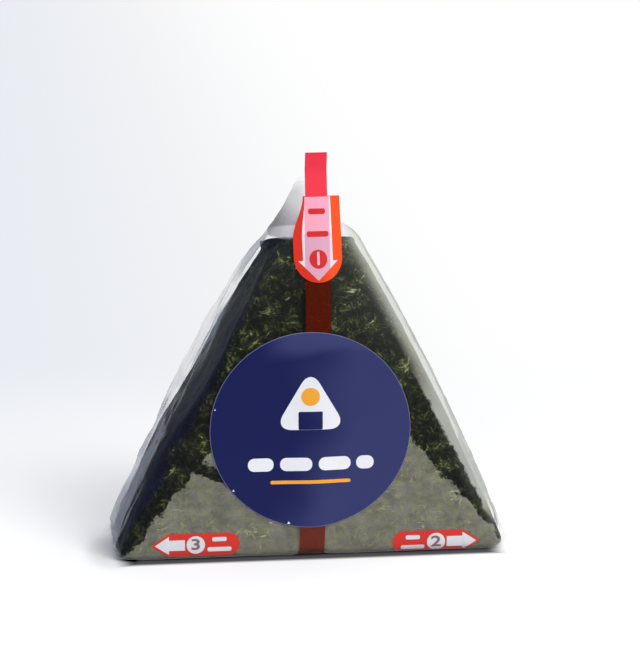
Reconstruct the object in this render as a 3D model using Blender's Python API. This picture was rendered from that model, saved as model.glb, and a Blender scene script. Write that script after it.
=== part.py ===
"""A seaweed-wrapped rice ball, shut in its clear film pack.

The pack stands on its flat base with its front panel towards -Y.  Four solids make it:
the filled film pack with the pull tongue at its peak, the tear tape that runs down the
front, under the base and up the back, the numbered tab at the tape's top, and the round
label on the front.  Everything is in metres, +Z up, and the origin is on the ground under
the middle of the object's box.
"""
import math

import bmesh
import bpy

# Outline of the pack seen from the front: half-widths at three heights, then the neck
# where each side meets the pull tongue.
BASE_Z = 0.0025
MIDDLE_Z = 0.028
SHOULDER_Z = 0.080
BASE_HALF_WIDTH = 0.049
LEFT_MIDDLE = 0.0377
RIGHT_MIDDLE = 0.0385
LEFT_SHOULDER = 0.0100
RIGHT_SHOULDER = 0.0117
LEFT_NECK_Z = 0.0915
RIGHT_NECK_Z = 0.0880

# Pull tongue: the flat end of the film above the ridge.
TONGUE_X = 0.0027
TONGUE_HALF_WIDTH = 0.0057
TONGUE_HALF_DEPTH = 0.0004
RIDGE_Z = 0.0955
TOP_Z = 0.0995

# Thickness of the pack, front to back, and the height where it starts to thin.
HALF_DEPTH = 0.0165
WEDGE_Z = 0.056
WEDGE_POWER = 1.25

# Rounded edges: along the base, and up the four side edges.
BASE_RADIUS = 0.0025
CORNER_RADIUS = 0.006
CORNER_RADIUS_LOW = 0.0026
CORNER_FULL_Z = 0.016
CORNER_STEPS = 8
CORNER_DEPTH_SHARE = 0.9

# How finely the loft is sliced, and the fold angle from which an edge is shaded sharp.
BASE_STEP_DEGREES = 15
BODY_SLICES = 14
SHARP_DEGREES = 35

# Thin layers laid on the film, each clear of the one below.
GAP = 0.0003
LAYER = 0.00025

# Tear tape: it leans a little to the right as it climbs, and lies in a groove under the base.
TAPE_HALF_WIDTH = 0.0031
TAPE_BASE_X = -0.0003
TAPE_LEAN = 0.029
TAPE_TOP_Z = 0.0998
TAPE_BACK_TOP_Z = 0.079
GROOVE_DEPTH = GAP + LAYER + GAP
GROOVE_SIDE = 0.0005
GROOVE_OUTER = 0.002
TAPE_BEND_STEPS = 6
TAPE_STEP = 0.001
SAME_HEIGHT = 0.0001

# Numbered pull tab over the top of the tape.
TAB_X = 0.0024
TAB_HALF_WIDTH = 0.0059
TAB_TOP_HALF_WIDTH = 0.0046
TAB_BOTTOM_Z = 0.0703
TAB_TOP_Z = 0.0895
TAB_NARROWING_Z = 0.080
TAB_ROUND = 0.0062
TAB_ROUND_DEGREES = range(12, 90, 6)
TAB_STRAIGHT_STEPS = 8

# Round label on the front panel.
LABEL_RADIUS = 0.025
LABEL_X = -0.0006
LABEL_Z = 0.033
LABEL_SIDES = 96

# The object's box runs from the label's face to the tape on the back.
FRONT_FACE = HALF_DEPTH + 2 * GAP + 2 * LAYER
BACK_FACE = HALF_DEPTH + GAP + LAYER
CENTRE_Y = (FRONT_FACE - BACK_FACE) / 2

FINISHES = {
    "film_pack": ((0.035, 0.043, 0.028), 0.25),
    "tear_tape": ((0.80, 0.05, 0.08), 0.35),
    "pull_tab": ((0.78, 0.06, 0.04), 0.40),
    "round_label": ((0.018, 0.022, 0.120), 0.35),
}


def lerp(a, b, t):
    """Value a fraction t of the way from a to b."""
    return a + (b - a) * min(max(t, 0.0), 1.0)


def curve_through(z, points):
    """Height of the parabola through three (z, value) points."""
    total = 0.0
    for i, (zi, value) in enumerate(points):
        weight = 1.0
        for j, (zj, _) in enumerate(points):
            if i != j:
                weight *= (z - zj) / (zi - zj)
        total += value * weight
    return total


def base_inset(z):
    """How far the rounded base edge stands in at height z."""
    if z >= BASE_RADIUS:
        return 0.0
    return BASE_RADIUS - math.sqrt(BASE_RADIUS**2 - (BASE_RADIUS - z)**2)


def side_reach(z, middle, shoulder, neck, neck_z):
    """Distance of one side of the pack from the centre plane at height z."""
    if z <= SHOULDER_Z:
        bulge = [(BASE_Z, BASE_HALF_WIDTH), (MIDDLE_Z, middle), (SHOULDER_Z, shoulder)]
        return curve_through(max(z, BASE_Z), bulge) - base_inset(z)
    return lerp(shoulder, neck, (z - SHOULDER_Z) / (neck_z - SHOULDER_Z))


def left_x(z):
    neck = TONGUE_HALF_WIDTH - TONGUE_X
    return -side_reach(z, LEFT_MIDDLE, LEFT_SHOULDER, neck, LEFT_NECK_Z)


def right_x(z):
    neck = TONGUE_HALF_WIDTH + TONGUE_X
    return side_reach(z, RIGHT_MIDDLE, RIGHT_SHOULDER, neck, RIGHT_NECK_Z)


def half_depth(z):
    """Half the pack's thickness: even up to the wedge, then closing to the ridge."""
    if z <= WEDGE_Z:
        return HALF_DEPTH - base_inset(z)
    closed = min((z - WEDGE_Z) / (RIDGE_Z - WEDGE_Z), 1.0) ** WEDGE_POWER
    return lerp(HALF_DEPTH, TONGUE_HALF_DEPTH, closed)


def slice_heights():
    """Heights of the loft's slices, close together round the base edge and the ridge."""
    base = [BASE_RADIUS * (1 - math.cos(math.radians(a))) for a in range(0, 90, BASE_STEP_DEGREES)]
    base[0] = 0.0
    body = [lerp(BASE_RADIUS, WEDGE_Z, i / BODY_SLICES) for i in range(BODY_SLICES + 1)]
    wedge = [lerp(WEDGE_Z, RIDGE_Z, i / BODY_SLICES) for i in range(1, BODY_SLICES + 1)]
    return base + body + wedge + [TOP_Z]


def slice_points(z):
    """One horizontal slice: a rectangle with rounded corners, counter-clockwise from above."""
    left, right, depth = left_x(z), right_x(z), half_depth(z)
    wanted = lerp(CORNER_RADIUS_LOW, CORNER_RADIUS, z / CORNER_FULL_Z)
    radius = min(wanted, CORNER_DEPTH_SHARE * depth)
    centres = [(right - radius, depth - radius), (left + radius, depth - radius),
               (left + radius, radius - depth), (right - radius, radius - depth)]
    points = []
    for quarter, (cx, cy) in enumerate(centres):
        for step in range(CORNER_STEPS + 1):
            angle = math.radians(90 * (quarter + step / CORNER_STEPS))
            points.append((cx + radius * math.cos(angle), cy + radius * math.sin(angle), z))
    return points


def seat_line(back_top):
    """(y, z) points that the tape lies on: front face, groove under the base, back face."""
    low = GROOVE_DEPTH + BASE_RADIUS
    climb = [z for z in slice_heights() if z > low + TAPE_STEP]
    front = [(-half_depth(z), z) for z in reversed(climb)]
    flat_y = HALF_DEPTH - BASE_RADIUS
    bends = [math.radians(90 * i / TAPE_BEND_STEPS) for i in range(TAPE_BEND_STEPS + 1)]
    front_bend = [(-flat_y - BASE_RADIUS * math.cos(a), low - BASE_RADIUS * math.sin(a)) for a in bends]
    back_bend = [(-y, z) for y, z in reversed(front_bend)]
    back = [(half_depth(z), z) for z in climb if z <= back_top]
    return front + front_bend + back_bend + back


def outward(line):
    """Unit normals of a (y, z) line that runs down the front and up the back."""
    normals = []
    for i in range(len(line)):
        y0, z0 = line[max(i - 1, 0)]
        y1, z1 = line[min(i + 1, len(line) - 1)]
        length = math.hypot(y1 - y0, z1 - z0)
        normals.append(((z1 - z0) / length, -(y1 - y0) / length))
    return normals


def tape_x(z):
    return TAPE_BASE_X + TAPE_LEAN * z


def make_object(name, bm):
    """Turn a bmesh into a shaded object that carries its own material."""
    bmesh.ops.recalc_face_normals(bm, faces=bm.faces)
    mesh = bpy.data.meshes.new(name)
    bm.to_mesh(mesh)
    bm.free()
    mesh.shade_smooth()
    mesh.set_sharp_from_angle(angle=math.radians(SHARP_DEGREES))
    obj = bpy.data.objects.new(name, mesh)
    bpy.context.scene.collection.objects.link(obj)
    obj.location.y = CENTRE_Y
    if name in FINISHES:
        colour, roughness = FINISHES[name]
        material = bpy.data.materials.new(name)
        material.use_nodes = True
        shader = material.node_tree.nodes["Principled BSDF"]
        shader.inputs["Base Color"].default_value = (*colour, 1.0)
        shader.inputs["Roughness"].default_value = roughness
        mesh.materials.append(material)
    return obj


def skin_rings(bm, rings):
    """Join closed rings of points end to end and cap both ends."""
    verts = [[bm.verts.new(point) for point in ring] for ring in rings]
    count = len(rings[0])
    for lower, upper in zip(verts, verts[1:]):
        for i in range(count):
            j = (i + 1) % count
            bm.faces.new((lower[i], lower[j], upper[j], upper[i]))
    bm.faces.new(verts[0])
    bm.faces.new(verts[-1])


def ribbon(name, line, extents, inner, outer):
    """A thin strip along a (y, z) line, from `inner` to `outer` off it, with its own
    (left x, right x) extent at every point."""
    rings = []
    for (y, z), (ny, nz), (x0, x1) in zip(line, outward(line), extents):
        near = (y + ny * inner, z + nz * inner)
        far = (y + ny * outer, z + nz * outer)
        rings.append([(x0, *near), (x1, *near), (x1, *far), (x0, *far)])
    bm = bmesh.new()
    skin_rings(bm, rings)
    return make_object(name, bm)


def make_tape_groove():
    """Cutter for the shallow groove that takes the tape under the base."""
    low = GROOVE_DEPTH + BASE_RADIUS
    line = [(y, z) for y, z in seat_line(TAPE_BACK_TOP_Z) if z < low - SAME_HEIGHT]
    (y0, z0), (y1, z1) = line[0], (-HALF_DEPTH, low)
    start = (y1 - (y0 - y1), z1 + (z1 - z0))
    line = [start] + line + [(-start[0], start[1])]
    half = TAPE_HALF_WIDTH + GROOVE_SIDE
    extents = [(TAPE_BASE_X - half, TAPE_BASE_X + half)] * len(line)
    cutter = ribbon("groove_cutter", line, extents, 0.0, GROOVE_OUTER)
    cutter.hide_render = True
    cutter.display_type = "WIRE"
    return cutter


def make_pack():
    """The filled film pack: horizontal slices lofted from the base to the tongue's top."""
    bm = bmesh.new()
    skin_rings(bm, [slice_points(z) for z in slice_heights()])
    pack = make_object("film_pack", bm)
    groove = pack.modifiers.new("tape groove", "BOOLEAN")
    groove.operation = "DIFFERENCE"
    groove.solver = "EXACT"
    groove.object = make_tape_groove()


def make_tape():
    """Tear tape: tail above the ridge, down the front, under the base, up the back."""
    line = seat_line(TAPE_BACK_TOP_Z)
    line[0] = (line[0][0], TAPE_TOP_Z)
    extents = [(tape_x(z) - TAPE_HALF_WIDTH, tape_x(z) + TAPE_HALF_WIDTH) for _, z in line]
    ribbon("tear_tape", line, extents, GAP, GAP + LAYER)


def make_tab():
    """Pull tab: flat top, round bottom, its left edge drawn in towards the top."""
    round_steps = [TAB_BOTTOM_Z + TAB_ROUND * (1 - math.cos(math.radians(a))) for a in TAB_ROUND_DEGREES]
    straight = [lerp(TAB_BOTTOM_Z + TAB_ROUND, TAB_TOP_Z, i / TAB_STRAIGHT_STEPS)
                for i in range(TAB_STRAIGHT_STEPS + 1)]
    line, extents = [], []
    for z in reversed(round_steps + straight):
        fill = min((z - TAB_BOTTOM_Z) / TAB_ROUND, 1.0)
        reach = TAB_HALF_WIDTH * math.sqrt(1 - (1 - fill) ** 2)
        narrowing = (z - TAB_NARROWING_Z) / (TAB_TOP_Z - TAB_NARROWING_Z)
        left = min(reach, lerp(TAB_HALF_WIDTH, TAB_TOP_HALF_WIDTH, narrowing))
        line.append((-half_depth(z), z))
        extents.append((TAB_X - left, TAB_X + reach))
    ribbon("pull_tab", line, extents, 2 * GAP + LAYER, 2 * GAP + 2 * LAYER)


def make_label():
    """Round label: a thin flat disc that lies over the tape on the front panel."""
    inner = HALF_DEPTH + 2 * GAP + LAYER
    rings = []
    for y in (-inner, -inner - LAYER):
        ring = []
        for i in range(LABEL_SIDES):
            angle = 2 * math.pi * i / LABEL_SIDES
            ring.append((LABEL_X + LABEL_RADIUS * math.cos(angle), y,
                         LABEL_Z + LABEL_RADIUS * math.sin(angle)))
        rings.append(ring)
    bm = bmesh.new()
    skin_rings(bm, rings)
    make_object("round_label", bm)


def main():
    for obj in list(bpy.data.objects):
        bpy.data.objects.remove(obj)
    make_pack()
    make_tape()
    make_tab()
    make_label()


main()
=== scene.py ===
# %% [markdown]
# # A packed rice ball
#
# This lesson builds the looks of a rice ball in seaweed, shut in its clear film pack.
# The solids that give its size are already made, and they come in as a fixed frame.
# We add what the eye sees: the seaweed, the thin film round it, the red tear tape,
# the numbered tab, the printed arrows and the round sticker.

# %% Load the frame
import math

import bpy
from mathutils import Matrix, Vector, noise
from mathutils.bvhtree import BVHTree


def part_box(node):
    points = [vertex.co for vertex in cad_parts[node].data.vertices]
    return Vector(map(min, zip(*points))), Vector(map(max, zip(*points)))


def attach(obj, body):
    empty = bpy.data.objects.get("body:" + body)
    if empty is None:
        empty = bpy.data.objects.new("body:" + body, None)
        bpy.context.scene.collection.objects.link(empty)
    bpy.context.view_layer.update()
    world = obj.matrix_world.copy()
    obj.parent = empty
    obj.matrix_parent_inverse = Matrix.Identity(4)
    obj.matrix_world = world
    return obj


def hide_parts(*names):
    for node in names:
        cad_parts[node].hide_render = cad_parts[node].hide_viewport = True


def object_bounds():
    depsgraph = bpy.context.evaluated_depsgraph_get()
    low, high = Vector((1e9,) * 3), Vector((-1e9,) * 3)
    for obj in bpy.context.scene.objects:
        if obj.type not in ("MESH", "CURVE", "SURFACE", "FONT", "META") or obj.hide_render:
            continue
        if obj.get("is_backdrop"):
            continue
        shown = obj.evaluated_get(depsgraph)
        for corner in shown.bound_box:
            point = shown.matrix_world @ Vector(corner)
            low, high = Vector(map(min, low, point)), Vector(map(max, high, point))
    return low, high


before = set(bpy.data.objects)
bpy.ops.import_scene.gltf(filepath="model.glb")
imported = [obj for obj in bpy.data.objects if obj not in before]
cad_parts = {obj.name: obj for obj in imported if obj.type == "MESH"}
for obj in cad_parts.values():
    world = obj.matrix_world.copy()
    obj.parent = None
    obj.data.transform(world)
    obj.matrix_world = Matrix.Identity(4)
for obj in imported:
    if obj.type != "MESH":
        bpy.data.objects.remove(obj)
cad_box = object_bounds()
pack_low, pack_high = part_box("film_pack")
print("pack from", tuple(pack_low), "to", tuple(pack_high))

# %% [markdown]
# ## Small tools
#
# Operators work on what is selected, so every step starts by selecting one thing and
# nothing else. These helpers do that, pick out parts of a mesh by their place, run the
# modifiers that finish a piece and move its points by a rule. One of them rules a grid
# into a flat shape, because a shape needs points inside it before it can bend.

# %% Selecting and editing
MM = 0.001


def only(obj):
    """Select this object and nothing else."""
    if bpy.context.mode != "OBJECT":
        bpy.ops.object.mode_set(mode="OBJECT")
    bpy.ops.object.select_all(action="DESELECT")
    obj.select_set(True)
    bpy.context.view_layer.objects.active = obj
    return obj


def edit(obj, everything=False):
    """Open an object in edit mode with all or none of its mesh selected."""
    only(obj)
    bpy.ops.object.mode_set(mode="EDIT")
    bpy.ops.mesh.select_mode(type="VERT")
    bpy.ops.mesh.select_all(action="SELECT" if everything else "DESELECT")


def pick(obj, test):
    """In edit mode, select the points that pass a test of their place."""
    bpy.ops.object.mode_set(mode="OBJECT")
    for v in obj.data.vertices:
        v.select = test(v.co)
    for e in obj.data.edges:
        e.select = all(obj.data.vertices[i].select for i in e.vertices)
    for f in obj.data.polygons:
        f.select = all(obj.data.vertices[i].select for i in f.vertices)
    bpy.ops.object.mode_set(mode="EDIT")


def leave():
    bpy.ops.object.mode_set(mode="OBJECT")


def settle(obj, name):
    """Name an object and put its place into its mesh, so that it sits at the origin."""
    only(obj)
    obj.name = name
    obj.data.name = name
    bpy.ops.object.transform_apply(location=True, rotation=True, scale=True)
    return obj


def apply(obj, kind, **settings):
    """Add one modifier with these settings and apply it."""
    only(obj)
    step = obj.modifiers.new(kind.title(), kind)
    for key, value in settings.items():
        setattr(step, key, value)
    bpy.ops.object.modifier_apply(modifier=step.name)
    return obj


def move_points(obj, rule):
    """Move every point of a mesh to where a rule of (place, normal) sends it."""
    moved = [rule(v.co.copy(), v.normal.copy()) for v in obj.data.vertices]
    for v, place in zip(obj.data.vertices, moved):
        v.co = place
    obj.data.update()
    return obj


def dress(obj, material, slot, *stands_for):
    """Give a finished piece its material and its place on the frame; slot is not used."""
    obj.data.materials.clear()
    obj.data.materials.append(material)
    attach(obj, "root")
    if stands_for:
        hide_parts(*stands_for)
    print(obj.name, len(obj.data.polygons), "faces")
    return obj


def rule_grid(obj, spacing):
    """Cut a flat shape along evenly spaced upright and level lines."""
    low = [min(v.co[i] for v in obj.data.vertices) for i in range(3)]
    high = [max(v.co[i] for v in obj.data.vertices) for i in range(3)]
    edit(obj, everything=True)
    for axis in (0, 2):
        count = int((high[axis] - low[axis]) / spacing)
        for k in range(1, count + 1):
            at = Vector((0, 0, 0))
            at[axis] = low[axis] + k * (high[axis] - low[axis]) / (count + 1)
            normal = Vector((0, 0, 0))
            normal[axis] = 1
            bpy.ops.mesh.select_all(action="SELECT")
            bpy.ops.mesh.bisect(plane_co=at, plane_no=normal)
    leave()


def blend_in(a, b, x):
    """0 below a, 1 above b, and a smooth ramp between."""
    t = min(max((x - a) / (b - a), 0.0), 1.0)
    return t * t * (3 - 2 * t)


# %% [markdown]
# ## Camera
#
# The camera stands a little to the left of the pack and looks slightly down on it, from
# far enough away that the sides stay nearly parallel. A long lens does the same in a
# real studio. The aim is a point just over half way up the pack.

# %% Place the camera
VIEW_TURN = math.radians(-6.5)
VIEW_RISE = math.radians(14)
VIEW_DISTANCE = 0.8
AIM = Vector((0.00365, 0.0, 0.0550))
LENS = 175.2

toward = Vector((math.sin(VIEW_TURN) * math.cos(VIEW_RISE),
                 -math.cos(VIEW_TURN) * math.cos(VIEW_RISE), math.sin(VIEW_RISE)))
camera_data = bpy.data.cameras.new("camera")
camera = bpy.data.objects.new("camera", camera_data)
bpy.context.scene.collection.objects.link(camera)
camera.location = AIM + VIEW_DISTANCE * toward
camera.rotation_euler = toward.to_track_quat("Z", "Y").to_euler()
camera_data.lens = LENS
camera_data.sensor_fit = "VERTICAL"
camera_data.sensor_height = 36
camera_data.clip_start = 0.01
bpy.context.scene.camera = camera
bpy.context.scene.view_settings.view_transform = "Standard"
print("camera at", tuple(round(c, 3) for c in camera.location))

# %% [markdown]
# ## Material tools
#
# Every finish here is made from nodes, and so is the air of the studio. A small class
# keeps the wiring short: it adds a node, fills in its sockets, and links any socket that
# is given another node's output. A finish is the same thing with a material of its own,
# and it starts from the place on the object, so that a pattern is as large as life.

# %% Building node trees


def colour(red, green, blue):
    """A screen colour from 0 to 255 as the linear colour that shaders use."""
    parts = []
    for part in (red / 255, green / 255, blue / 255):
        parts.append(part / 12.92 if part <= 0.04045 else ((part + 0.055) / 1.055) ** 2.4)
    return (*parts, 1.0)


class Wiring:
    """The node tree of a material or a world, emptied and being wired up."""

    def __init__(self, owner):
        owner.use_nodes = True
        self.tree = owner.node_tree
        self.tree.nodes.clear()

    def add(self, kind, inputs=None, **settings):
        """Add a ShaderNode of this kind; inputs maps a socket's name or number to a value or an output."""
        node = self.tree.nodes.new("ShaderNode" + kind)
        for key, value in settings.items():
            setattr(node, key, value)
        for key, value in (inputs or {}).items():
            if isinstance(value, bpy.types.NodeSocket):
                self.tree.links.new(value, node.inputs[key])
            else:
                node.inputs[key].default_value = value
        return node

    def math(self, operation, a, b=0.0, clamp=False):
        node = self.add("Math", {0: a, 1: b}, operation=operation, use_clamp=clamp)
        return node.outputs[0]

    def ramp(self, value, stops):
        node = self.add("ValToRGB", {"Fac": value})
        points = node.color_ramp.elements
        while len(points) < len(stops):
            points.new(0.5)
        for point, (at, shade) in zip(points, stops):
            point.position = at
            point.color = shade
        return node.outputs["Color"]

    def step(self, value, low, high):
        """0 up to low, 1 from high."""
        node = self.add("MapRange", {"Value": value, "From Min": low, "From Max": high},
                        interpolation_type="SMOOTHSTEP")
        return node.outputs[0]

    def mix(self, share, a, b):
        node = self.add("Mix", {0: share, 6: a, 7: b}, data_type="RGBA")
        return node.outputs[2]


class Finish(Wiring):
    """A material being wired up."""

    def __init__(self, name):
        self.material = bpy.data.materials.new(name)
        super().__init__(self.material)
        self.place = self.add("TexCoord").outputs["Object"]

    def noise(self, scale, detail=3.0, rough=0.5, distortion=0.0, place=None):
        inputs = {"Vector": place or self.place, "Scale": scale, "Detail": detail,
                  "Roughness": rough, "Distortion": distortion}
        return self.add("TexNoise", inputs).outputs["Fac"]

    def stretched(self, scale, turn):
        """The object's place, turned and then scaled, for a pattern that runs one way."""
        turned = self.add("Mapping", {"Vector": self.place, "Rotation": turn}).outputs[0]
        return self.add("Mapping", {"Vector": turned, "Scale": scale}).outputs[0]

    def show(self, shader):
        self.add("OutputMaterial", {"Surface": shader.outputs[0]})
        return self.material


# %% [markdown]
# ## The table
#
# The pack stands near the front edge of a plain white table in a bright studio. The
# light that is seen is kept apart from the light that falls on the pack, so the far end
# of the table can run to white without washing out the seaweed; that far end carries
# painted shade, greyer and bluer towards the left. A thin dark line under the pack is a
# painted contact shadow, and a painted shadow darkens the table beside its left foot,
# where little light gets in.

# %% Make the floor
FLOOR_RADIUS = 0.605
FLOOR_MIDDLE_Y = 0.50
FLOOR_LIFT = 0.25
# Painted shadow on the table beside the pack's left foot.
FOOT_X, FOOT_Y = -50 * MM, -7 * MM
FOOT_WIDE, FOOT_LONG = 8 * MM, 17 * MM
FOOT_SHADE = 0.85
# Painted contact shadow: the table's dark line under the pack's edges.
PAINTED_CONTACT_SHADOW = (0.10, 0.10, 0.11, 1.0)
CONTACT_SHADOW_X = (44 * MM, 50 * MM)
CONTACT_SHADOW_Y = (17.0 * MM, 19.5 * MM)
TABLE_WHITE = colour(236, 236, 238)
FAR_X = (-0.08, 0.10)
FAR_Y = (0.03, 0.20)
# Painted shade on the far table: greyer and bluer towards the left.
FAR_LEFT_SHADE = colour(233, 236, 242)
FAR_MIDDLE = colour(243, 244, 246)
FAR_RIGHT = colour(255, 255, 255)

bpy.ops.mesh.primitive_circle_add(vertices=128, radius=FLOOR_RADIUS, fill_type="NGON",
                                  location=(0, FLOOR_MIDDLE_Y, 0))
floor = settle(bpy.context.object, "floor")
table = Finish("table")
spot = table.add("SeparateXYZ", {0: table.place})
seen = table.add("LightPath").outputs["Is Camera Ray"]
# Masks of the painted shadow under the pack's edges and beside its left foot; the glow is left out there too.
aside = table.step(table.math("ABSOLUTE", spot.outputs[0]), *CONTACT_SHADOW_X)
ahead_of = table.step(table.math("ABSOLUTE", spot.outputs[1]), *CONTACT_SHADOW_Y)
outside_painted_shadow = table.math("MAXIMUM", aside, ahead_of)
off_x = table.math("DIVIDE", table.math("SUBTRACT", spot.outputs[0], FOOT_X), FOOT_WIDE)
off_y = table.math("DIVIDE", table.math("SUBTRACT", spot.outputs[1], FOOT_Y), FOOT_LONG)
off = table.math("ADD", table.math("MULTIPLY", off_x, off_x), table.math("MULTIPLY", off_y, off_y))
shaded = table.math("MULTIPLY", table.step(off, 1.0, 0.0), FOOT_SHADE)
open_air = table.math("MULTIPLY", seen, table.math("SUBTRACT", outside_painted_shadow, shaded))
lit = table.add("BsdfDiffuse", {"Color": table.mix(outside_painted_shadow, PAINTED_CONTACT_SHADOW, TABLE_WHITE)})
glow = table.math("MULTIPLY", open_air, FLOOR_LIFT)
lift = table.add("Emission", {"Color": (1, 1, 1, 1), "Strength": glow})
near = table.add("AddShader", {0: lit.outputs[0], 1: lift.outputs[0]})
level = table.step(spot.outputs[0], *FAR_X)
shade = table.ramp(level, [(0.0, FAR_LEFT_SHADE), (0.5, FAR_MIDDLE), (1.0, FAR_RIGHT)])
far = table.add("Emission", {"Color": shade, "Strength": 1.0})
behind = table.math("MULTIPLY", table.step(spot.outputs[1], *FAR_Y), seen)
whole = table.add("MixShader", {0: behind, 1: near.outputs[0], 2: far.outputs[0]})
floor.data.materials.append(table.show(whole))
floor.visible_glossy = False
floor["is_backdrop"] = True
print("table", 2 * FLOOR_RADIUS, "m across")

# %% [markdown]
# ## Lamps and air
#
# Two square soft lamps light the pack, a strong one high at the right and a weak one low
# at the left. The air gives the rest: bright at the right, dim and bluish at the left,
# and dark in front, past the edge of the table. The film mirrors that air. The eye sees
# none of it, because for the eye the wall is one plain white.

# %% Light the studio
WALL = colour(252, 252, 253)
PACK_MIDDLE = Vector((0.0, 0.0, 0.045))
SHADE_SIDE = (0.10, 0.13, 0.20, 1.0)
BRIGHT_SIDE = (0.95, 0.95, 0.93, 1.0)
DARK_FRONT = (0.07, 0.075, 0.09, 1.0)

world = bpy.data.worlds.new("studio")
bpy.context.scene.world = world
air = Wiring(world)
direction = air.add("SeparateXYZ", {0: air.add("TexCoord").outputs["Generated"]})
across = air.add("MapRange", {"Value": direction.outputs["X"], "From Min": -1.0})
room = air.ramp(across.outputs[0], [(0.15, SHADE_SIDE), (0.75, BRIGHT_SIDE)])
around = air.mix(air.step(direction.outputs["Y"], -0.97, -0.55), DARK_FRONT, room)
to_eye = air.add("LightPath").outputs["Is Camera Ray"]
sky = air.add("Background", {0: air.mix(to_eye, around, WALL)})
air.add("OutputWorld", {0: sky.outputs[0]})


def softbox(name, place, size, power, tint):
    """A square lamp at a place, turned to shine on the pack, that no gloss mirrors."""
    data = bpy.data.lights.new(name, "AREA")
    data.size = size
    data.energy = power
    data.color = tint
    lamp = bpy.data.objects.new(name, data)
    lamp.location = place
    lamp.rotation_euler = (Vector(place) - PACK_MIDDLE).to_track_quat("Z", "Y").to_euler()
    lamp.visible_glossy = False
    bpy.context.scene.collection.objects.link(lamp)
    print("lamp", name, power, "W")


softbox("key", (0.45, -0.50, 0.60), 0.40, 4.9, (1.0, 0.985, 0.96))
softbox("fill", (-0.35, -0.70, 0.25), 0.50, 1.8, (0.95, 0.97, 1.0))

# %% [markdown]
# ## The seaweed
#
# In a real pack a sheet of dry seaweed lies between two layers of film and is folded
# round the rice. All that shows of the ball is that sheet. Its body starts as a copy of
# the pack's own solid, so that it fits, and the empty peak is cut off with a bisect.
# The cut slopes down to the back, where the sheet folds over the top of the rice.
# Then the copy is shrunk a little, remeshed into even squares and given the slight
# lumps of the rice beneath.

# %% Shape the wrapped ball
CUT_Z = 80.8 * MM
CUT_SLOPE = 0.30
SHEET_DEPTH = 0.45 * MM
NORI_VOXEL = 0.75 * MM
BROAD_LUMP = 0.22
SMALL_LUMP = 0.10
RAGGED_TOP = 0.6
RIGHT_DIP = 0.9
FRONT_Y = pack_low.y


def copy_of(node, name):
    """A merged copy of a frame node's mesh, as a new object."""
    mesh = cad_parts[node].data.copy()
    obj = bpy.data.objects.new(name, mesh)
    bpy.context.scene.collection.objects.link(obj)
    edit(obj, everything=True)
    bpy.ops.mesh.remove_doubles(threshold=0.00001)
    leave()
    obj.data.materials.clear()
    return obj


def cut_off(obj, point, normal, keep_above=False):
    """Cut a mesh along a plane, throw one side away and close the cut."""
    edit(obj, everything=True)
    bpy.ops.mesh.bisect(plane_co=point, plane_no=normal, use_fill=True,
                        clear_inner=keep_above, clear_outer=not keep_above)
    leave()


def side_slack(x, z):
    """How far the loose film stands off the sheet at the sides."""
    if x < 0:
        return (0.5 + 3.0 * blend_in(26 * MM, 50 * MM, z)) * MM
    return (0.3 + 0.5 * blend_in(4 * MM, 22 * MM, z)) * MM


def rice_lumps(place, normal):
    """Move one point of the ball: draw the sides in and raise the lumps of the rice."""
    slack = side_slack(place.x, place.z) * abs(normal.x) ** 2
    lump = noise.noise(place * 190) * BROAD_LUMP + noise.noise(place * 420) * SMALL_LUMP
    ragged = noise.noise(Vector((place.x * 600, 3.1, 7.7))) * RAGGED_TOP
    ragged -= RIGHT_DIP * blend_in(4 * MM, 12 * MM, place.x)
    high = blend_in(CUT_Z - 2 * MM, CUT_Z, place.z)
    moved = place + normal * (lump * MM - slack)
    moved.z = max(moved.z + ragged * MM * high, 0.25 * MM)
    return moved


nori = copy_of("film_pack", "nori_body")
cut_off(nori, (0, FRONT_Y * 0.5, CUT_Z), (0, CUT_SLOPE, 1))
edit(nori, everything=True)
bpy.ops.transform.shrink_fatten(value=-SHEET_DEPTH)
leave()
apply(nori, "REMESH", mode="VOXEL", voxel_size=NORI_VOXEL)
apply(nori, "SMOOTH", factor=0.5, iterations=2)
move_points(nori, rice_lumps)
only(nori)
bpy.ops.object.shade_smooth()
settle(nori, "nori_body")
print("seaweed body", len(nori.data.polygons), "faces")

# %% [markdown]
# ## Seaweed finish
#
# Dry seaweed is nearly black where it is thick. Where it thins it turns olive, and
# single strands catch yellow-green light. Noise at three scales makes that: broad
# patches, a fibrous net from stretched noise turned three ways, and a few bright strands.
# The same net drives the bump, so the dark gaps also lie lower. Along the left edge,
# which lies in the shade, all of it turns navy: painted shade, and a painted reflection
# of the dim blue side of the room.

# %% Seaweed material
NORI_DARK = colour(10, 14, 8)
NORI_BODY = colour(33, 39, 21)
NORI_OLIVE = colour(72, 78, 40)
NORI_STRAND = colour(134, 138, 84)
# The palest stop is a painted glint.
NORI_PAINTED_GLINT = colour(172, 175, 146)
# Painted shade and reflection for the shaded left edge.
NORI_PAINTED_SHADE = colour(9, 13, 30)
NORI_PAINTED_SHADE_PALE = colour(26, 34, 56)
EDGE_LEAN = 0.508
EDGE_TOP_X = -6.8 * MM
EDGE_TOP_Z = 81.4 * MM
NET_LEVEL = 0.585
NET_GAIN = 4.2
PATCH_GAIN = 1.5
MIDDLE_SHADE = 0.42
FIBRE_DEPTH = 0.3 * MM
FIBRE_NETS = (((950, 900, 380), (0.0, 0.55, 0.0)),
              ((900, 950, 360), (0.3, -0.75, 0.4)),
              ((850, 800, 340), (0.0, 1.45, 0.6)))


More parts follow.
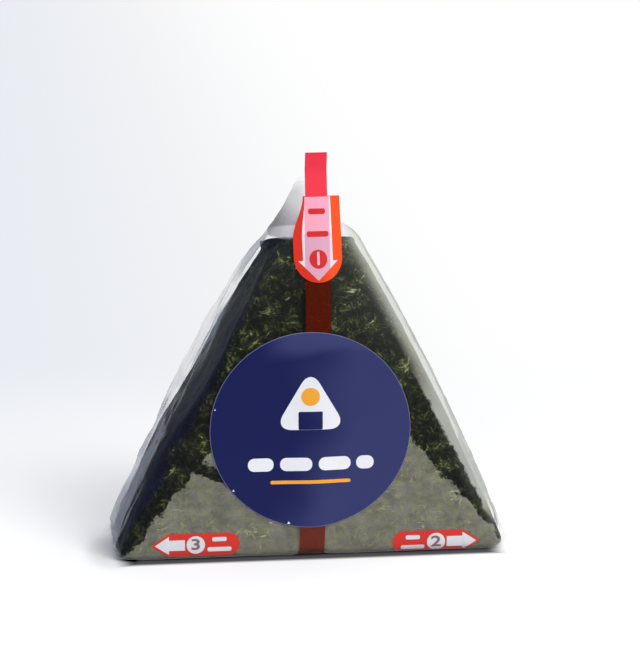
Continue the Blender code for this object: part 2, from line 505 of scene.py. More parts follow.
def seaweed():
    f = Finish("nori")
    place = f.add("SeparateXYZ", {0: f.place})
    patches = f.noise(210, 4, 0.6, 0.4)
    nets = [f.noise(1.0, 6, 0.7, 0.8, f.stretched(scale, turn)) for scale, turn in FIBRE_NETS]
    net = f.math("MAXIMUM", f.math("MAXIMUM", nets[0], nets[1]), nets[2])
    strong = f.math("MULTIPLY", f.math("SUBTRACT", net, NET_LEVEL), NET_GAIN)
    broad = f.math("MULTIPLY", f.math("SUBTRACT", patches, 0.5), PATCH_GAIN)
    mixed = f.math("ADD", f.math("ADD", strong, broad), MIDDLE_SHADE, clamp=True)
    shade = f.ramp(mixed, [(0.15, NORI_DARK), (0.45, NORI_BODY), (0.70, NORI_OLIVE),
                           (0.90, NORI_STRAND), (1.0, NORI_PAINTED_GLINT)])
    edge_shade = f.ramp(mixed, [(0.2, NORI_PAINTED_SHADE), (1.0, NORI_PAINTED_SHADE_PALE)])
    line = f.math("MULTIPLY", f.math("SUBTRACT", EDGE_TOP_Z, place.outputs[2]), -EDGE_LEAN)
    beyond = f.math("SUBTRACT", f.math("ADD", line, EDGE_TOP_X), place.outputs[0])
    uneven = f.math("MULTIPLY", f.math("SUBTRACT", f.noise(60, 3), 0.5), 12 * MM)
    # The band of painted shade along the left edge.
    painted_shade_band = f.step(f.math("ADD", beyond, uneven), -0.5 * MM, 1.5 * MM)
    bump = f.add("Bump", {"Height": mixed, "Strength": 0.5, "Distance": FIBRE_DEPTH})
    skin = f.add("BsdfPrincipled", {"Base Color": f.mix(painted_shade_band, shade, edge_shade), "Roughness": 0.5,
                                    "Normal": bump.outputs[0], "Specular IOR Level": 0.25})
    return f.show(skin)


dress(nori, seaweed(), "nori")

# %% [markdown]
# ## The film
#
# The film is one thin clear skin. It is tight on the front panel, slack at the sides,
# where it is folded like a parcel, and empty at the peak. Its mesh is another copy of
# the pack, cut below the flat tongue and remeshed. Every point then moves by a rule:
# long creases that run up the slanted sides, small ripples near the corners, and almost
# nothing on the front, where the prints lie.

# %% Shape the film
FILM_VOXEL = 0.8 * MM
CREASE_HEIGHT = 0.9 * MM
RIPPLE_HEIGHT = 0.05 * MM
PEAK_CUT_Z = 92.5 * MM
LEFT_EDGE = Vector((0.47, 0.0, 0.88))
RIGHT_EDGE = Vector((-0.47, 0.0, 0.88))
PEAK_X = 2.4 * MM
DRAW_LEFT = 1.3 * MM
DRAW_RIGHT = 3.2 * MM
TONGUE_DRAW = 1.4 * MM


def ridged(place):
    """Noise folded at its middle, which gives sharp crests like creases."""
    return 1 - 2 * abs(noise.noise(place))


def peak_draw(x, z):
    """How far the empty peak draws in towards the tongue, at the left and at the right."""
    off = x - PEAK_X
    share = blend_in(0, 7 * MM, abs(off))
    if off < 0:
        rise = blend_in(70 * MM, 81 * MM, z) * (1 - 0.3 * blend_in(82 * MM, 92 * MM, z))
        return DRAW_LEFT * share * rise
    rise = blend_in(78 * MM, 83 * MM, z) * (1 - 0.9 * blend_in(84 * MM, 92 * MM, z))
    return -DRAW_RIGHT * share * rise


def creased(place, normal):
    """Move one point of the film out or in along its normal."""
    edge = LEFT_EDGE if place.x < 0 else RIGHT_EDGE
    along = place.dot(edge)
    beside = Vector((along * 75, place.y * 260, (place - edge * along).length * 200 + 5 * place.x))
    side = blend_in(0.25, 0.9, abs(normal.x))
    crease = ridged(beside) * 0.55 + ridged(beside * 2.3) * 0.22
    ripple = noise.noise(place * 120)
    moved = place + normal * (crease * CREASE_HEIGHT * side + ripple * RIPPLE_HEIGHT)
    moved.x += peak_draw(place.x, place.z)
    moved.z = max(moved.z, 0.0)
    return moved


film = copy_of("film_pack", "film_wrap")
cut_off(film, (0, 0, PEAK_CUT_Z), (0, 0, 1))
apply(film, "REMESH", mode="VOXEL", voxel_size=FILM_VOXEL)
apply(film, "SMOOTH", factor=0.5, iterations=6)
move_points(film, creased)
only(film)
bpy.ops.object.shade_smooth()
settle(film, "film_wrap")

tongue = copy_of("film_pack", "film_tongue")
cut_off(tongue, (0, 0, PEAK_CUT_Z), (0, 0, 1), keep_above=True)


def tongue_draw(place, normal):
    """Carry the peak's narrowing on up the tongue, and a little more at its left."""
    left = TONGUE_DRAW if place.x < PEAK_X else 0
    more = left * blend_in(PEAK_CUT_Z, PEAK_CUT_Z + 3 * MM, place.z)
    return place + Vector((peak_draw(place.x, PEAK_CUT_Z) + more, 0, 0))


move_points(tongue, tongue_draw)
only(tongue)
bpy.ops.object.shade_smooth_by_angle(angle=math.radians(30))
settle(tongue, "film_tongue")

# %% [markdown]
# ## Masks from the place
#
# A mask is a value from 0 to 1 that says where a finish changes. These helpers make the
# masks that the film needs: a band round a value, everything under a slanted line, the
# overlap of several masks, which is their product, and the rest of a mask.

# %% Mask helpers


def band(f, value, middle, half, soft):
    """1 where a value is within half of the middle."""
    off = f.math("ABSOLUTE", f.math("SUBTRACT", value, middle))
    return f.step(off, half + soft, half - soft)


def under_line(f, across, up, height, slope, soft):
    """1 under the line that crosses x = 0 at this height with this slope."""
    over = f.math("SUBTRACT", f.math("SUBTRACT", up, f.math("MULTIPLY", across, slope)), height)
    return f.step(over, soft, -soft)


def times(f, *masks):
    total = masks[0]
    for mask in masks[1:]:
        total = f.math("MULTIPLY", total, mask)
    return total


def rest_of(f, mask):
    return f.math("SUBTRACT", 1.0, mask)


def between(f, mask, least, gain):
    """The mask as a value that starts at least and rises by gain."""
    return f.math("ADD", least, f.math("MULTIPLY", mask, gain))


# %% [markdown]
# ## Where the film is milky
#
# Film that clings to the seaweed is clear, and film that stands a little off it looks
# milky. On a real pack that happens low on the front, along the right edge, in the
# folds at the sides and at the empty peak. These veils also carry painted light: a
# painted reflection of the bright table low on the front, a painted reflection of the
# bright side along the right edge and over the right half, a painted sheen in the side
# folds and painted shade at the peak. Each zone has its own mask, made from the place
# on the pack. Ragged edges come from a place that noise has moved a little.

# %% Milky zones
HAZE_LEFT = (59.5 * MM, 1.244)
HAZE_RIGHT = (59.1 * MM, -1.175)
HAZE_SOFT = 0.3 * MM
FINGER_Z = 13.6 * MM
FINGER_HALF = 1.9 * MM
FINGER_LEAN = 0.35
EDGE_SLOPE = 0.517
EDGE_FRAY = 0.4
SIDE_LEAN = 0.503
SIDE_FOOT = 46.4 * MM
WEDGE_FOOT = 56 * MM
WEDGE_SLOPE = 0.42
FOLD_LEAN = 0.25
FOLD_SCALE = (110.0, 38.0, 20.0)
FOLD_VEIL = 0.6
OUTER_VEIL = 0.65
LOOSE_CLEAR = 0.9
PEAK_FOOT = 79.3 * MM
PEAK_LEAN = 0.8
SHEEN_VEIL = 0.03


def front_haze_and_reflection(f, x, y, z, ragged_z):
    """The ragged milky triangle low on the front, with a painted reflection of the bright table, and one
    clear finger into it.
    """
    front = f.step(y, FRONT_Y + 2.5 * MM, FRONT_Y + 1.2 * MM)
    left = under_line(f, x, ragged_z, *HAZE_LEFT, HAZE_SOFT)
    right = under_line(f, x, ragged_z, *HAZE_RIGHT, HAZE_SOFT)
    slant = f.math("ADD", ragged_z, f.math("MULTIPLY", x, FINGER_LEAN))
    finger = times(f, band(f, slant, FINGER_Z, FINGER_HALF, HAZE_SOFT), f.step(x, -20 * MM, -22 * MM))
    zone = times(f, left, right, f.step(z, 34 * MM, 30 * MM), front, rest_of(f, finger))
    cloud = f.step(f.noise(330, 5, 0.7), 0.30, 0.70)
    return f.math("MULTIPLY", zone, between(f, cloud, 0.20, 0.13))


def side_depth(f, y, z):
    """How far a place lies behind the front, which slopes back higher up."""
    climb = f.math("MAXIMUM", f.math("SUBTRACT", z, WEDGE_FOOT), 0.0)
    return f.math("SUBTRACT", f.math("SUBTRACT", y, FRONT_Y), f.math("MULTIPLY", climb, WEDGE_SLOPE))


def right_edge_reflection(f, x, z, wobble, depth):
    """The band of painted reflection of the bright side down the right edge: crisp low down and soft higher
    up.
    """
    up = f.math("MULTIPLY", z, EDGE_SLOPE)
    frayed = f.math("ADD", f.math("ADD", x, f.math("MULTIPLY", wobble, EDGE_FRAY)), up)
    crisp = f.step(frayed, 48.8 * MM, 49.8 * MM)
    soft = f.step(f.math("ADD", x, up), 48.6 * MM, 53.6 * MM)
    high = f.step(z, 36 * MM, 50 * MM)
    either = f.math("ADD", f.math("MULTIPLY", soft, high), f.math("MULTIPLY", crisp, rest_of(f, high)))
    length = times(f, either, f.step(z, 6 * MM, 14 * MM), f.step(x, 0.0, 6 * MM), f.step(z, 84 * MM, 78 * MM))
    return f.math("MULTIPLY", length, f.step(depth, 14 * MM, 6 * MM))


def side_folds(f, x, z, depth):
    """The veil of the folds at the sides, milky film with a painted sheen, and the mask of the outer sheet at
    the left.
    """
    reach = f.math("ADD", f.math("ABSOLUTE", x), f.math("MULTIPLY", z, SIDE_LEAN))
    on_side = times(f, f.step(depth, 3.5 * MM, 4.5 * MM), f.step(reach, SIDE_FOOT, SIDE_FOOT + 1.5 * MM))
    on_left = f.step(x, 0.0, -2 * MM)
    slant = f.math("ADD", depth, f.math("MULTIPLY", z, FOLD_LEAN))
    parts = [f.math("MULTIPLY", part, scale) for part, scale in zip((slant, z, x), FOLD_SCALE)]
    streaks = f.add("CombineXYZ", dict(enumerate(parts)))
    folds = f.noise(1.0, 3, 0.55, 0.5, streaks.outputs[0])
    fold = f.math("MULTIPLY", f.step(folds, 0.46, 0.56), FOLD_VEIL)
    gaps = between(f, f.step(folds, 0.42, 0.52), 0.2, 0.8)
    outer = times(f, f.step(depth, 17 * MM, 22 * MM), on_left, OUTER_VEIL, gaps)
    loose = times(f, on_left, f.step(z, 24 * MM, 46 * MM), f.step(depth, 10 * MM, 20 * MM), LOOSE_CLEAR)
    veil = times(f, on_side, f.math("MAXIMUM", fold, outer), f.step(z, 84 * MM, 74 * MM), rest_of(f, loose))
    return veil, outer


def empty_peak(f, x, z):
    """The left half of the empty peak, milky film with painted shade, denser towards its lower left."""
    low = f.step(f.math("ADD", z, f.math("MULTIPLY", x, PEAK_LEAN)), 86 * MM, 74 * MM)
    return times(f, f.step(z, PEAK_FOOT, PEAK_FOOT + 0.6 * MM), f.step(z, 94 * MM, 89 * MM),
                 f.step(x, 2 * MM, -2 * MM), between(f, low, 0.25, 0.45))


def right_sheen(f, ragged_x, z):
    """A very faint painted sheen over the right half of the front."""
    line = f.math("ADD", ragged_x, f.math("MULTIPLY", z, EDGE_SLOPE))
    return times(f, f.step(line, 30 * MM, 52 * MM), f.step(z, 30 * MM, 60 * MM),
                 f.step(z, 84 * MM, 78 * MM), SHEEN_VEIL)


# %% [markdown]
# ## Film finish
#
# Clear film is mostly not there: it lets light straight through, and mirrors a little,
# more where it turns away from the eye. So the finish mixes a clear and a mirror shader
# by how far the surface turns away, and then lays a pale veil over both where the film
# is milky and where painted light lies. The veil has its own painted tone in each zone,
# lighter or darker by how the light falls there.

# %% Film material
# Milky film with a painted reflection of the bright table, low on the front.
VEIL_MILK_AND_REFLECTION = (0.62, 0.60, 0.47, 1.0)
VEIL_FLECK = (0.70, 0.70, 0.38, 1.0)
VEIL_DULL = (0.54, 0.52, 0.46, 1.0)
# Painted reflection of the bright side, at the right edge and in the sheen.
VEIL_SIDE_REFLECTION = (0.46, 0.48, 0.44, 1.0)
# Milky folded film with a painted sheen.
VEIL_FOLD_MILK_AND_SHEEN = (0.42, 0.46, 0.52, 1.0)
VEIL_OUTER = (0.80, 0.83, 0.87, 1.0)
# Milky film with painted shade, at the peak.
VEIL_PEAK_MILK_AND_SHADE = (0.37, 0.33, 0.38, 1.0)
FILM_WOBBLE = 10 * MM
FILM_GLOSS = 0.06
FILM_FACING = 0.03
FILM_GRAZING = 0.38


def film_pane(f, z):
    """Clear film that mirrors more where it turns away, and hardly at all at the tongue."""
    facing = f.add("LayerWeight", {"Blend": 0.5}).outputs["Facing"]
    grazing = f.math("MULTIPLY", f.math("POWER", facing, 5.0), FILM_GRAZING)
    quiet = rest_of(f, f.math("MULTIPLY", f.step(z, 84 * MM, 90 * MM), 0.9))
    shine = f.math("MULTIPLY", f.math("ADD", grazing, FILM_FACING), quiet)
    clear = f.add("BsdfTransparent", {})
    mirror = f.add("BsdfGlossy", {"Color": (1, 1, 1, 1), "Roughness": FILM_GLOSS})
    return f.add("MixShader", {0: shine, 1: clear.outputs[0], 2: mirror.outputs[0]})


def film_finish():
    f = Finish("clear_film")
    place = f.add("SeparateXYZ", {0: f.place})
    x, y, z = place.outputs[0], place.outputs[1], place.outputs[2]
    wobble = f.math("MULTIPLY", f.math("SUBTRACT", f.noise(210, 5, 0.7), 0.5), FILM_WOBBLE)
    depth = side_depth(f, y, z)
    haze_and_reflection = front_haze_and_reflection(f, x, y, z, f.math("ADD", z, wobble))
    edge = right_edge_reflection(f, x, z, wobble, depth)
    edge_reflection_veil = times(f, edge, between(f, f.noise(60, 3), 0.55, 0.25))
    folds, outer = side_folds(f, x, z, depth)
    peak = empty_peak(f, x, z)
    sheen = right_sheen(f, f.math("ADD", x, wobble), z)

    blotched = f.mix(f.step(f.noise(240, 3, 0.6, 0.5), 0.40, 0.60), VEIL_DULL, VEIL_MILK_AND_REFLECTION)
    flecked = f.mix(f.step(f.noise(620, 3, 0.6), 0.50, 0.66), blotched, VEIL_FLECK)
    # The veil's tones are painted light: a painted table reflection low on the front, painted reflection at
    # the right edge and in the sheen, painted shade at the peak and a painted sheen in the folds.
    tone = f.mix(f.math("MAXIMUM", edge, f.step(sheen, 0.0, 0.05)), flecked, VEIL_SIDE_REFLECTION)
    peak_tone = f.mix(f.step(x, -3 * MM, 4 * MM), VEIL_PEAK_MILK_AND_SHADE, VEIL_SIDE_REFLECTION)
    tone = f.mix(f.step(z, PEAK_FOOT - 0.7 * MM, PEAK_FOOT), tone, peak_tone)
    fold_tone = f.mix(f.step(outer, 0.0, 0.6), VEIL_FOLD_MILK_AND_SHEEN, VEIL_OUTER)
    tone = f.mix(f.step(folds, 0.1, 0.2), tone, fold_tone)
    milk = f.add("BsdfDiffuse", {"Color": tone})
    veil = f.math("MAXIMUM", haze_and_reflection, f.math("MAXIMUM", edge_reflection_veil, peak))
    veil = f.math("MAXIMUM", veil, f.math("MAXIMUM", sheen, folds))
    return f.show(f.add("MixShader", {0: veil, 1: film_pane(f, z).outputs[0], 2: milk.outputs[0]}))


clear_film = film_finish()
dress(film, clear_film, "film", "film_pack")
dress(tongue, clear_film, "film")

# %% [markdown]
# ## Tear tape finish
#
# The tape is tinted film. Over a white wall it glows red, and over the dark seaweed it is
# deep brown-red. A tinted clear shader gives that by itself, since it colours whatever
# is behind it, and a little plain red keeps it visible over black. Light crosses both
# faces of the strip, so the tint is the square root of the colour that we want to see.
# The free tail is cut a little narrower, and lets less light through. Low down the
# tape is paler: a painted reflection of the bright table.

# %% Tape material
TAPE_TINT = (0.78, 0.22, 0.26, 1.0)
TAPE_PLAIN = (0.40, 0.068, 0.022, 1.0)
TAPE_COVER = 0.12
# Painted reflection: the tape is paler low down, where the bright table shows in it.
LOW_PLAIN_REFLECTION = (0.38, 0.14, 0.085, 1.0)
LOW_REFLECTION_COVER = 0.20
TAIL_PLAIN = (1.0, 0.055, 0.095, 1.0)
TAIL_COVER = 0.75
TAIL_Z = 88.2 * MM
TAIL_NARROWING = 0.12
TAPE_FOOT_X = -0.3 * MM
TAPE_LEAN = 0.029


def tape_finish():
    f = Finish("tear_tape")
    z = f.add("SeparateXYZ", {0: f.place}).outputs[2]
    free = f.step(z, TAIL_Z, TAIL_Z + 1 * MM)
    low = f.step(z, 10 * MM, 7 * MM)
    tint = f.add("BsdfTransparent", {"Color": TAPE_TINT})
    shade = f.mix(free, f.mix(low, TAPE_PLAIN, LOW_PLAIN_REFLECTION), TAIL_PLAIN)
    plain = f.add("BsdfPrincipled", {"Base Color": shade, "Roughness": 0.3, "Specular IOR Level": 0.3})
    more_free = f.math("MULTIPLY", free, TAIL_COVER - TAPE_COVER)
    more_low = f.math("MULTIPLY", low, LOW_REFLECTION_COVER - TAPE_COVER)
    cover = f.math("ADD", TAPE_COVER, f.math("ADD", more_free, more_low))
    return f.show(f.add("MixShader", {0: cover, 1: tint.outputs[0], 2: plain.outputs[0]}))


def tail_narrow(place, normal):
    """Draw the free tail in a little: it is cut narrower than the tape on the pack."""
    middle = TAPE_FOOT_X + TAPE_LEAN * place.z
    share = blend_in(TAIL_Z - 2 * MM, TAIL_Z, place.z)
    return Vector((place.x - (place.x - middle) * TAIL_NARROWING * share, place.y, place.z))


tape = copy_of("tear_tape", "tape_strip")
rule_grid(tape, 6 * MM)
move_points(tape, tail_narrow)
only(tape)
bpy.ops.object.shade_smooth_by_angle(angle=math.radians(30))
dress(tape, tape_finish(), "tape", "tear_tape")

# %% [markdown]
# ## Shapes for the prints
#
# Prints are thin flat shapes laid on the film. Each starts as a plane or a circle that
# faces the front, is shaped with extrude and bevel, and is then ruled into a fine grid.
# Draping sends every point straight back onto the film and lifts it by the print's own
# small height. Solidify turns the sheet into a closed layer of ink.

# %% Printed shapes
UPRIGHT = (math.pi / 2, 0.0, 0.0)
IN_FRONT = FRONT_Y - 20 * MM
INK = 0.03 * MM
LOWEST_INK = 0.4 * MM
NUMERAL_WEIGHT = 0.022


def surface_of(obj):
    """The faces of an object, ready for rays to be cast at them."""
    return BVHTree.FromPolygons([v.co for v in obj.data.vertices], [f.vertices for f in obj.data.polygons])


film_surface = surface_of(film)
pack_surface = surface_of(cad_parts["film_pack"])


def bar(name, x, z, width, height, rounding=0.0):
    """A flat bar that faces the front, with rounded corners if asked."""
    bpy.ops.mesh.primitive_plane_add(size=1, location=(x, IN_FRONT, z), rotation=UPRIGHT)
    obj = bpy.context.object
    obj.scale = (width, height, 1)
    settle(obj, name)
    if rounding:
        edit(obj, everything=True)
        bpy.ops.mesh.bevel(offset=rounding, segments=6, affect="VERTICES")
        leave()
    return obj


def disc(name, x, z, radius, sides=48):
    bpy.ops.mesh.primitive_circle_add(vertices=sides, radius=radius, fill_type="NGON",
                                      location=(x, IN_FRONT, z), rotation=UPRIGHT)
    return settle(bpy.context.object, name)


def point_end(obj, edge_x, reach, flare=1.0):
    """Draw out the end of a bar at edge_x to a point, flared first like an arrow's head."""
    middle = sum((v.co for v in obj.data.vertices), Vector()) / len(obj.data.vertices)
    edit(obj)
    pick(obj, lambda co: abs(co.x - edge_x) < 0.01 * MM)
    hold = (edge_x, IN_FRONT, middle.z)
    if flare != 1.0:
        bpy.ops.mesh.extrude_region_move()
        bpy.ops.transform.resize(value=(1, 1, flare), center_override=hold)
    bpy.ops.mesh.extrude_region_move(TRANSFORM_OT_translate={"value": (reach, 0, 0)})
    bpy.ops.transform.resize(value=(1, 1, 0), center_override=hold)
    bpy.ops.mesh.select_all(action="SELECT")
    bpy.ops.mesh.remove_doubles(threshold=0.00001)
    leave()
    return obj


def drape(obj, lift, spacing=1.0 * MM, thickness=INK, stiff=False):
    """Lay a flat print on the film, lift(x, z) above it, and give it its thickness.

    A stiff piece stays level from side to side, like the tab.
    """
    rule_grid(obj, spacing)

    def lay(place, normal):
        place.z = max(place.z, LOWEST_INK)
        start = Vector((PEAK_X if stiff else place.x, IN_FRONT, place.z))
        for ground in (film_surface, pack_surface):
            spot = ground.ray_cast(start, Vector((0, 1, 0)))[0]
            if spot:
                return Vector((place.x, spot.y - lift(place.x, place.z), place.z))
        return place

    move_points(obj, lay)
    apply(obj, "SOLIDIFY", thickness=thickness, offset=1)
    only(obj)
    bpy.ops.object.shade_smooth_by_angle(angle=math.radians(40))
    return obj


def numeral(name, text, x, z, size, spread=1.0):
    """A plain number as a flat mesh that faces the front."""
    bpy.ops.object.text_add(location=(0, 0, 0))
    obj = bpy.context.object
    obj.data.body = text
    obj.data.size = size
    obj.data.align_x = "CENTER"
    obj.data.align_y = "CENTER"
    obj.data.resolution_u = 4
    obj.data.offset = NUMERAL_WEIGHT * size
    only(obj)
    bpy.ops.object.convert(target="MESH")
    obj = bpy.context.object
    obj.rotation_euler = UPRIGHT
    obj.scale = (spread, 1, 1)
    obj.location = (x, IN_FRONT, z)
    settle(obj, name)
    edit(obj, everything=True)
    bpy.ops.mesh.remove_doubles(threshold=0.000001)
    leave()
    return obj


def glossy_ink(f, paint, rough):
    """Ink with a thin gloss over it, finished as the material of f."""
    return f.show(f.add("BsdfPrincipled", {"Base Color": paint, "Roughness": rough, "Coat Weight": 0.1,
                                           "Coat Roughness": 0.08, "Specular IOR Level": 0.35}))


def print_finish(name, paint):
    """Glossy ink with faint unevenness, so that a field of colour isn't dead flat."""
    f = Finish(name)
    shade = tuple(c * 0.90 for c in paint[:3]) + (1.0,)
    return glossy_ink(f, f.mix(f.noise(260, 3), shade, paint), 0.35)


# %% [markdown]
# ## Arrows at the corners
#
# The two lower corners of the film are pulled off last, so each has a red arrow with its
# number printed over it: 3 at the left and 2 at the right. Each arrow is a red tag with
# one pointed and one round end, a white arrow, a white disc with a numeral, and two
# plain bars that stand for the words.

# %% Corner arrows
PRINT_RED = colour(214, 52, 44)
PRINT_WHITE = colour(218, 220, 226)
NUMERAL_GREY = colour(136, 100, 102)
TAG_HEIGHT = 6.0 * MM
TAG_TIP = 4.3 * MM

red_ink = print_finish("red_ink", PRINT_RED)
white_ink = print_finish("white_ink", PRINT_WHITE)
grey_ink = print_finish("grey_ink", NUMERAL_GREY)


def layer(number):
    """Height above the film of the nth ink layer."""
    return lambda x, z: (0.05 + 0.04 * number) * MM


def corner_arrow(side, word, tip_x, tail_x, z, number):
    """One printed tag; side is -1 for the left corner and 1 for the right."""
    shoulder = tip_x - side * TAG_TIP
    tag = bar(f"arrow_tag_{word}", (shoulder + tail_x) / 2, z, abs(shoulder - tail_x), TAG_HEIGHT)
    edit(tag)
    pick(tag, lambda co: abs(co.x - tail_x) < 0.01 * MM)
    bpy.ops.mesh.bevel(offset=TAG_HEIGHT * 0.49, segments=10, affect="VERTICES")
    leave()
    point_end(tag, shoulder, side * TAG_TIP)
    drape(tag, layer(0))
    dress(tag, red_ink, "tab_print")

    head = tip_x - side * 4.4 * MM
    start = tip_x - side * 8.4 * MM
    arrow = bar(f"arrow_mark_{word}", (head + start) / 2, z, abs(head - start), 2.7 * MM)
    point_end(arrow, head, side * 3.5 * MM, flare=1.75)
    drape(arrow, layer(1))
    dress(arrow, white_ink, "tab_print")

    disc_x = tip_x - side * 11.1 * MM
    number_disc = disc(f"arrow_disc_{word}", disc_x, z, 2.3 * MM)
    drape(number_disc, layer(1))
    dress(number_disc, white_ink, "tab_print")
    digit = numeral(f"arrow_number_{word}", number, disc_x, z, 3.9 * MM, 1.35)
    drape(digit, layer(2), spacing=2 * MM)
    dress(digit, grey_ink, "tab_print")
    for row, (lift, length) in enumerate(((1.35, 3.6), (-1.25, 6.0))):
        words = bar(f"arrow_bar_{word}_{row}", tip_x - side * 17.0 * MM, z + lift * MM,
                    length * MM, 1.1 * MM, 0.4 * MM)
        drape(words, layer(1))
        dress(words, white_ink, "tab_print")


corner_arrow(-1, "left", -40.4 * MM, -18.3 * MM, 4.2 * MM, "3")
corner_arrow(1, "right", 42.2 * MM, 20.1 * MM, 2.9 * MM, "2")

# %% [markdown]
# ## Pull tab
#
# The red tab over the top of the tape starts the opening: it is pulled down and all the
# way round. It is a printed label with a flat top and a round bottom, and a white arrow
# runs down it. The white ink is thin, so the tape behind turns it pink, and a little
# greyer where the dark seaweed lies behind as well. The tab lies over the tape, so it
# is lifted most along the tape's line. It is too stiff to follow the narrow peak, so
# all of it takes its depth from the film along one upright line.

# %% Tab
TAB_LOW, TAB_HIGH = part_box("pull_tab")
TAB_LOW.z -= 1.2 * MM
TAB_HIGH.z -= 0.5 * MM
TAB_LOW.x -= 0.5 * MM
TAB_HIGH.x -= 0.3 * MM
TAPE_HALF = 3.1 * MM
TAPE_RISE = 0.62
TAPE_SPREAD = 6 * MM
TAB_RED = colour(216, 46, 26)
# Painted light: the tab's red turns this orange towards the lit right side.
TAB_LIT_ORANGE = colour(244, 78, 24)
TAB_PINK = colour(251, 164, 188)
TAB_LILAC = colour(219, 162, 186)
TAB_WHITE = colour(250, 234, 240)
TAB_GREY = colour(226, 216, 226)
TAB_INK = colour(212, 44, 44)
DIGIT_PINK = colour(240, 190, 205)
TAB_BASE = 0.15


def over_tape(base, number):
    """Height of a layer that lies on the film and climbs over the tape."""
    def lift(x, z):
        beside = (x - TAPE_FOOT_X - TAPE_LEAN * z) / TAPE_SPREAD
        return (base + TAPE_RISE * math.exp(-beside * beside) + 0.04 * number) * MM
    return lift


def tab_red():
    """Red ink with painted light: more orange towards the right, where the light comes from."""
    f = Finish("tab_red")
    x = f.add("SeparateXYZ", {0: f.place}).outputs[0]
    return glossy_ink(f, f.mix(f.step(x, 0.0, 6 * MM), TAB_RED, TAB_LIT_ORANGE), 0.35)


def tab_white():
    """White ink with the tape showing pink through it."""
    f = Finish("tab_white")
    place = f.add("SeparateXYZ", {0: f.place})
    x, z = place.outputs[0], place.outputs[2]
    tape_x = f.math("ADD", f.math("MULTIPLY", z, TAPE_LEAN), TAPE_FOOT_X)
    off = f.math("ABSOLUTE", f.math("SUBTRACT", x, tape_x))
    on_tape = f.step(off, TAPE_HALF + 0.1 * MM, TAPE_HALF - 0.1 * MM)
    dark_behind = f.step(z, CUT_Z + 0.6 * MM, CUT_Z - 0.4 * MM)
    pink = f.mix(dark_behind, TAB_PINK, TAB_LILAC)
    white = f.mix(dark_behind, TAB_WHITE, TAB_GREY)
    paint = f.mix(on_tape, white, pink)
    return f.show(f.add("BsdfPrincipled", {"Base Color": paint, "Roughness": 0.35,
                                           "Coat Weight": 0.2, "Coat Roughness": 0.1}))


tab_x = (TAB_LOW.x + TAB_HIGH.x) / 2
tab_width = TAB_HIGH.x - TAB_LOW.x
tab_height = TAB_HIGH.z - TAB_LOW.z
tab = bar("pull_tab_label", tab_x, (TAB_LOW.z + TAB_HIGH.z) / 2, tab_width, tab_height)
edit(tab)
pick(tab, lambda co: co.z < TAB_LOW.z + 1 * MM)
bpy.ops.mesh.bevel(offset=tab_width * 0.49, segments=12, affect="VERTICES")
leave()
rule_grid(tab, 1.0 * MM)


def draw_in(amount):
    """A rule that draws the left edge in towards the top."""
    def moved(place, normal):
        left = blend_in(tab_x, TAB_LOW.x, place.x)
        high = blend_in(TAB_HIGH.z - 10 * MM, TAB_HIGH.z, place.z)
        return place + Vector((amount * left * high, 0, 0))
    return moved


move_points(tab, draw_in(2.9 * MM))
drape(tab, over_tape(TAB_BASE, 0), thickness=2 * INK, stiff=True)
dress(tab, tab_red(), "tab_print", "pull_tab")

SHAFT_X = 1.95 * MM
ARROW_DRAW = 1.5 * MM
SHAFT_WIDTH = 7.4 * MM
HEAD_Z = 74.6 * MM
shaft_top = TAB_HIGH.z - 0.15 * MM
arrow = bar("tab_arrow", SHAFT_X, (shaft_top + HEAD_Z) / 2, SHAFT_WIDTH, shaft_top - HEAD_Z)
edit(arrow)
pick(arrow, lambda co: co.z < HEAD_Z + 0.1 * MM)
bpy.ops.mesh.extrude_region_move()
bpy.ops.transform.resize(value=(1.32, 1, 1), center_override=(SHAFT_X, IN_FRONT, HEAD_Z))
bpy.ops.mesh.extrude_region_move(TRANSFORM_OT_translate={"value": (0, 0, -4.6 * MM)})
bpy.ops.transform.resize(value=(0, 1, 1), center_override=(SHAFT_X, IN_FRONT, HEAD_Z))
bpy.ops.mesh.select_all(action="SELECT")
bpy.ops.mesh.remove_doubles(threshold=0.00001)
leave()
rule_grid(arrow, 1.0 * MM)
move_points(arrow, draw_in(ARROW_DRAW))
drape(arrow, over_tape(TAB_BASE, 2), stiff=True)
dress(arrow, tab_white(), "tab_print")

DISC_X = SHAFT_X + 0.1 * MM
DISC_Z = HEAD_Z + 0.4 * MM
tab_disc = disc("tab_disc", DISC_X, DISC_Z, 2.2 * MM)
drape(tab_disc, over_tape(TAB_BASE, 3), stiff=True)
tab_ink = print_finish("tab_ink", TAB_INK)
dress(tab_disc, tab_ink, "tab_print")
digit = numeral("tab_number", "1", DISC_X, DISC_Z, 4.2 * MM)
drape(digit, over_tape(TAB_BASE, 4), spacing=2 * MM, stiff=True)
dress(digit, print_finish("tab_number", DIGIT_PINK), "tab_print")
for row, (z, length) in enumerate(((86.0, 4.2), (80.8, 5.4))):
    words = bar(f"tab_bar_{row}", SHAFT_X + 0.2 * MM, z * MM, length * MM, 1.3 * MM, 0.5 * MM)
    drape(words, over_tape(TAB_BASE, 3), stiff=True)
    dress(words, tab_ink, "tab_print")

# %% [markdown]
# ## Round sticker
#
# The sticker is a disc of coated paper, navy with a thin pale edge where it was cut. It
# carries a plain sign that suits any rice ball: a white triangle with round corners, a
# navy band of seaweed and an orange filling, over a row of white dashes and an orange
# line. Light falls on it from the right, so the navy is painted paler there as a painted
# sheen, and three tiny white nicks show where its edge is scuffed.

# %% Sticker
LABEL_LOW, LABEL_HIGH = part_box("round_label")
STICKER_X = (LABEL_LOW.x + LABEL_HIGH.x) / 2
STICKER_Z = (LABEL_LOW.z + LABEL_HIGH.z) / 2
STICKER_R = (LABEL_HIGH.x - LABEL_LOW.x) / 2
STICKER_NAVY = colour(25, 31, 84)
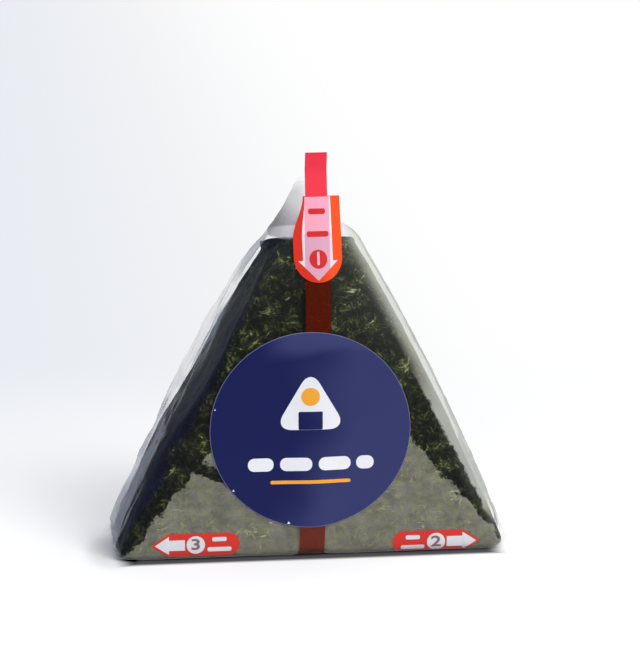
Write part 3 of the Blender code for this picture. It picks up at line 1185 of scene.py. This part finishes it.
# A painted sheen: the navy turns this paler where light falls from the right.
STICKER_PAINTED_SHEEN = colour(60, 64, 112)
STICKER_ORANGE = colour(250, 172, 60)
STICKER_WHITE = colour(240, 241, 246)
STICKER_EDGE = colour(120, 122, 158)
STICKER_BASE = 0.10
RIM = 0.15 * MM

paper = disc("sticker_paper", STICKER_X, STICKER_Z, STICKER_R, sides=160)
drape(paper, over_tape(STICKER_BASE, 0), spacing=1.5 * MM, thickness=2 * INK)
dress(paper, print_finish("sticker_edge", STICKER_EDGE), "label", "round_label")


def navy_finish():
    """Navy ink with a painted sheen, paler over the right half, the lower edge and the top."""
    f = Finish("sticker_navy")
    place = f.add("SeparateXYZ", {0: f.place})
    x, z = place.outputs[0], place.outputs[2]
    sway = f.math("MULTIPLY", f.math("SUBTRACT", f.noise(38, 2), 0.5), 40 * MM)
    slant = f.math("ADD", f.math("ADD", x, f.math("MULTIPLY", z, -0.15)), sway)
    right = f.step(slant, -16 * MM, 6 * MM)
    high = f.step(f.math("ADD", z, f.math("MULTIPLY", sway, 0.3)), 50 * MM, 55 * MM)
    top = f.math("MULTIPLY", high, f.step(x, -14 * MM, -4 * MM))
    painted_sheen = f.math("MAXIMUM", f.math("MULTIPLY", right, 0.75), top)
    return glossy_ink(f, f.mix(painted_sheen, STICKER_NAVY, STICKER_PAINTED_SHEEN), 0.3)


navy_ink = navy_finish()
face = disc("sticker_face", STICKER_X, STICKER_Z, STICKER_R - RIM, sides=160)
drape(face, over_tape(STICKER_BASE, 2), spacing=1.5 * MM)
dress(face, navy_ink, "label")

sticker_white = print_finish("sticker_white", STICKER_WHITE)
for index, (angle, size) in enumerate(((166, 0.5), (218, 0.7), (257, 0.9))):
    reach = STICKER_R - 0.6 * MM
    nick = disc(f"sticker_nick_{index}", STICKER_X + reach * math.cos(math.radians(angle)),
                STICKER_Z + reach * math.sin(math.radians(angle)), size * MM / 2, sides=3)
    drape(nick, over_tape(STICKER_BASE, 3), spacing=3 * MM)
    dress(nick, sticker_white, "label")
sticker_orange = print_finish("sticker_orange", STICKER_ORANGE)
SIGN_Z = STICKER_Z + 5.5 * MM
SIGN_R = 10.5 * MM

sign = disc("sticker_sign", STICKER_X, SIGN_Z, SIGN_R, sides=3)
edit(sign, everything=True)
bpy.ops.mesh.bevel(offset=4.4 * MM, segments=8, affect="VERTICES")
leave()
drape(sign, over_tape(STICKER_BASE, 3))
dress(sign, sticker_white, "label")
wrap = bar("sticker_band", STICKER_X, SIGN_Z - 2.9 * MM, 6.0 * MM, 4.6 * MM, 0.3 * MM)
drape(wrap, over_tape(STICKER_BASE, 4))
dress(wrap, navy_ink, "label")
filling = disc("sticker_filling", STICKER_X, SIGN_Z + 3.2 * MM, 2.3 * MM)
drape(filling, over_tape(STICKER_BASE, 4))
dress(filling, sticker_orange, "label")

DASHES = ((-12.4, 6.4), (-3.6, 8.0), (6.0, 8.0), (13.6, 4.4))
for index, (x, length) in enumerate(DASHES):
    dash = bar(f"sticker_dash_{index}", STICKER_X + x * MM, STICKER_Z - 8.6 * MM,
               length * MM, 3.4 * MM, 1.6 * MM)
    drape(dash, over_tape(STICKER_BASE, 3))
    dress(dash, sticker_white, "label")
under = bar("sticker_line", STICKER_X, STICKER_Z - 13.2 * MM, 20 * MM, 0.9 * MM, 0.4 * MM)
drape(under, over_tape(STICKER_BASE, 3))
dress(under, sticker_orange, "label")

# %% [markdown]
# ## The size of the finished scene
#
# The looks must fit the solids, so the box of the frame as it came in and the box of the
# finished scene are printed side by side.

# %% Finish
size = {"cad": [list(corner) for corner in cad_box],
        "scene": [list(corner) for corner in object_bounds()]}
print("CAD box  ", size["cad"])
print("scene box", size["scene"])
